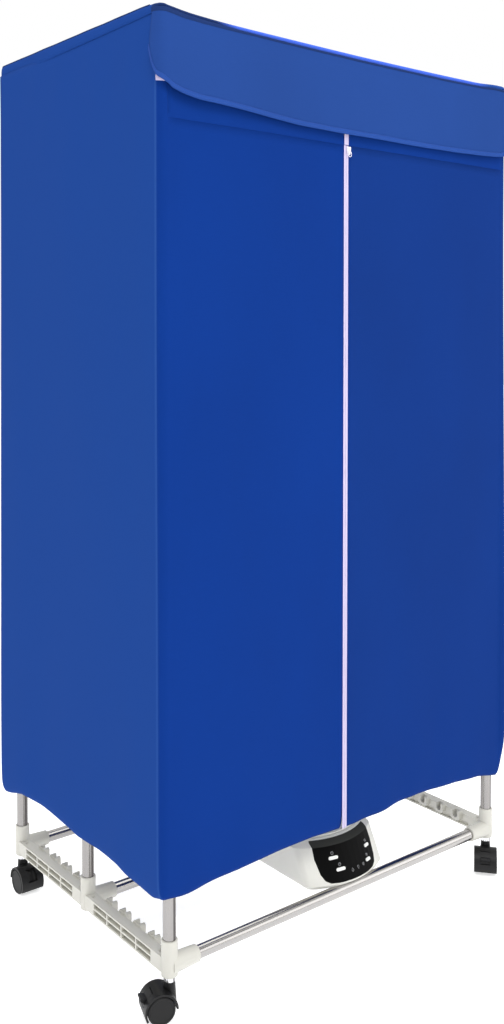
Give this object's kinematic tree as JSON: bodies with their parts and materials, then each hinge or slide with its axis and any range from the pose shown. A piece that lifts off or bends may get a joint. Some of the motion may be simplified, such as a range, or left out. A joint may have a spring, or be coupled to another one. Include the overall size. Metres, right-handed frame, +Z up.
{
  "type": "drying cabinet",
  "caption": "Portable clothes drying cabinet: tube frame on casters, blue fabric cover with a zipped front and flap, and a fan heater under it.",
  "frame": {"origin": "on the floor under the middle of the four corner uprights", "axes": "+X to the cabinet's right seen from the front, +Y to its back, +Z up"},
  "size_m": [0.7628, 0.5222, 1.416],
  "materials": {
    "joint_plastic": "moulded, slight sheen",
    "tube_steel": "bright satin",
    "rod_steel": "bright satin",
    "cover_fabric": "coated woven cloth",
    "zip_tape": "woven tape with fine teeth",
    "zip_metal": "white enamel",
    "heater_plastic": "moulded, slight sheen",
    "panel_plastic": "smooth",
    "button_plastic": "smooth",
    "element_aluminium": "raw",
    "motor_steel": "satin",
    "board_green": "matte",
    "gland_rubber": "matte",
    "fan_plastic": "matte",
    "stem_chrome": "plated",
    "caster_plastic": "satin",
    "wheel_rubber": "matte",
    "brake_plastic": "satin"
  },
  "bodies": {
    "cabinet": {"base_joints_front": "joint_plastic", "base_joints_middle": "joint_plastic", "base_joints_rear": "joint_plastic", "mid_joints": "joint_plastic", "top_joints": "joint_plastic", "side_beam_front_left": "joint_plastic", "side_beam_rear_left": "joint_plastic", "side_beam_front_right": "joint_plastic", "side_beam_rear_right": "joint_plastic", "mid_side_beams": "joint_plastic", "top_side_beams": "joint_plastic", "uprights_front": "tube_steel", "uprights_middle": "tube_steel", "uprights_rear": "tube_steel", "base_cross_tube_front": "tube_steel", "base_cross_tube_middle": "tube_steel", "base_cross_tube_rear": "tube_steel", "upper_cross_tubes": "tube_steel", "hanging_rods_mid": "rod_steel", "hanging_rods_top": "rod_steel", "cover_roof": "cover_fabric", "cover_side_left": "cover_fabric", "cover_side_right": "cover_fabric", "cover_back": "cover_fabric", "cover_header": "cover_fabric", "header_zip": "zip_tape", "heater_base": "heater_plastic", "heater_housing": "heater_plastic", "heater_panel": "panel_plastic", "heater_grille": "heater_plastic", "heater_element": "element_aluminium", "heater_motor": "motor_steel", "heater_board": "board_green", "heater_cord_gland": "gland_rubber", "caster_stems": "stem_chrome"},
    "door_left": {"cover_door_left": "cover_fabric", "zip_tape_left": "zip_tape"},
    "door_right": {"cover_door_right": "cover_fabric", "zip_tape_right": "zip_tape"},
    "slider": {"zip_slider": "zip_metal"},
    "flap": {"cover_flap": "cover_fabric"},
    "fan": {"heater_fan": "fan_plastic"},
    "button_power": {"button_power": "button_plastic"},
    "button_timer": {"button_timer": "button_plastic"},
    "button_heat": {"button_heat": "button_plastic"},
    "button_mode": {"button_mode": "button_plastic"},
    "caster_front_left": {"caster_body_front_left": "caster_plastic"},
    "wheel_front_left_a": {"caster_wheel_front_left_a": "wheel_rubber"},
    "wheel_front_left_b": {"caster_wheel_front_left_b": "wheel_rubber"},
    "caster_front_right": {"caster_body_front_right": "caster_plastic"},
    "wheel_front_right_a": {"caster_wheel_front_right_a": "wheel_rubber"},
    "wheel_front_right_b": {"caster_wheel_front_right_b": "wheel_rubber"},
    "caster_rear_left": {"caster_body_rear_left": "caster_plastic"},
    "wheel_rear_left_a": {"caster_wheel_rear_left_a": "wheel_rubber"},
    "wheel_rear_left_b": {"caster_wheel_rear_left_b": "wheel_rubber"},
    "caster_rear_right": {"caster_body_rear_right": "caster_plastic"},
    "wheel_rear_right_a": {"caster_wheel_rear_right_a": "wheel_rubber"},
    "wheel_rear_right_b": {"caster_wheel_rear_right_b": "wheel_rubber"},
    "brake_front_left": {"caster_brake_front_left": "brake_plastic"},
    "brake_front_right": {"caster_brake_front_right": "brake_plastic"}
  },
  "joints": [
    {"name": "door_left_hinge", "type": "hinge", "parent": "cabinet", "child": "door_left", "pos_m": [-0.356, -0.2474, 0.7], "axis": [0, 0, -1], "range_deg": [0, 110]},
    {"name": "door_right_hinge", "type": "hinge", "parent": "cabinet", "child": "door_right", "pos_m": [0.356, -0.2474, 0.7], "axis": [0, 0, 1], "range_deg": [0, 110]},
    {"name": "zip_slide", "type": "slide", "parent": "door_right", "child": "slider", "axis": [0, 0, 1], "range_m": [-1.04, 0]},
    {"name": "flap_hinge", "type": "hinge", "parent": "cabinet", "child": "flap", "pos_m": [0, -0.2494, 1.4081], "axis": [-1, 0, 0], "range_deg": [0, 200]},
    {"name": "fan_spin", "type": "hinge", "parent": "cabinet", "child": "fan", "pos_m": [0.012, -0.085, 0.11], "axis": [0, 0, 1], "continuous": true},
    {"name": "button_power_press", "type": "slide", "parent": "cabinet", "child": "button_power", "axis": [0.2129, 0.8851, -0.4138], "range_m": [0, 0.0012], "stiffness_N_per_m": 500, "springref_m": -0.0008},
    {"name": "button_timer_press", "type": "slide", "parent": "cabinet", "child": "button_timer", "axis": [0.1512, 0.8977, -0.4138], "range_m": [0, 0.0012], "stiffness_N_per_m": 500, "springref_m": -0.0008},
    {"name": "button_heat_press", "type": "slide", "parent": "cabinet", "child": "button_heat", "axis": [-0.2908, 0.8627, -0.4138], "range_m": [0, 0.0012], "stiffness_N_per_m": 500, "springref_m": -0.0008},
    {"name": "button_mode_press", "type": "slide", "parent": "cabinet", "child": "button_mode", "axis": [-0.2371, 0.879, -0.4138], "range_m": [0, 0.0012], "stiffness_N_per_m": 500, "springref_m": -0.0008},
    {"name": "swivel_front_left", "type": "hinge", "parent": "cabinet", "child": "caster_front_left", "pos_m": [-0.345, -0.23, 0.045], "axis": [0, 0, 1], "continuous": true},
    {"name": "roll_front_left_a", "type": "hinge", "parent": "caster_front_left", "child": "wheel_front_left_a", "pos_m": [-0.36013, -0.22479, 0.02], "axis": [-0.3256, -0.9455, 0], "continuous": true},
    {"name": "roll_front_left_b", "type": "hinge", "parent": "caster_front_left", "child": "wheel_front_left_b", "pos_m": [-0.36013, -0.22479, 0.02], "axis": [-0.3256, -0.9455, 0], "continuous": true},
    {"name": "swivel_front_right", "type": "hinge", "parent": "cabinet", "child": "caster_front_right", "pos_m": [0.345, -0.23, 0.045], "axis": [0, 0, 1], "continuous": true},
    {"name": "roll_front_right_a", "type": "hinge", "parent": "caster_front_right", "child": "wheel_front_right_a", "pos_m": [0.33274, -0.24028, 0.02], "axis": [0.6428, -0.766, 0], "continuous": true},
    {"name": "roll_front_right_b", "type": "hinge", "parent": "caster_front_right", "child": "wheel_front_right_b", "pos_m": [0.33274, -0.24028, 0.02], "axis": [0.6428, -0.766, 0], "continuous": true},
    {"name": "swivel_rear_left", "type": "hinge", "parent": "cabinet", "child": "caster_rear_left", "pos_m": [-0.345, 0.23, 0.045], "axis": [0, 0, 1], "continuous": true},
    {"name": "roll_rear_left_a", "type": "hinge", "parent": "caster_rear_left", "child": "wheel_rear_left_a", "pos_m": [-0.345, 0.214, 0.02], "axis": [1, 0, 0], "continuous": true},
    {"name": "roll_rear_left_b", "type": "hinge", "parent": "caster_rear_left", "child": "wheel_rear_left_b", "pos_m": [-0.345, 0.214, 0.02], "axis": [1, 0, 0], "continuous": true},
    {"name": "swivel_rear_right", "type": "hinge", "parent": "cabinet", "child": "caster_rear_right", "pos_m": [0.345, 0.23, 0.045], "axis": [0, 0, 1], "continuous": true},
    {"name": "roll_rear_right_a", "type": "hinge", "parent": "caster_rear_right", "child": "wheel_rear_right_a", "pos_m": [0.33749, 0.21587, 0.02], "axis": [0.8829, -0.4695, 0], "continuous": true},
    {"name": "roll_rear_right_b", "type": "hinge", "parent": "caster_rear_right", "child": "wheel_rear_right_b", "pos_m": [0.33749, 0.21587, 0.02], "axis": [0.8829, -0.4695, 0], "continuous": true},
    {"name": "brake_front_left_press", "type": "hinge", "parent": "caster_front_left", "child": "brake_front_left", "pos_m": [-0.37192, -0.22073, 0.03921], "axis": [-0.3256, -0.9455, 0], "range_deg": [0, 5]},
    {"name": "brake_front_right_press", "type": "hinge", "parent": "caster_front_right", "child": "brake_front_right", "pos_m": [0.32319, -0.2483, 0.03921], "axis": [0.6428, -0.766, 0], "range_deg": [0, 5]}
  ]
}
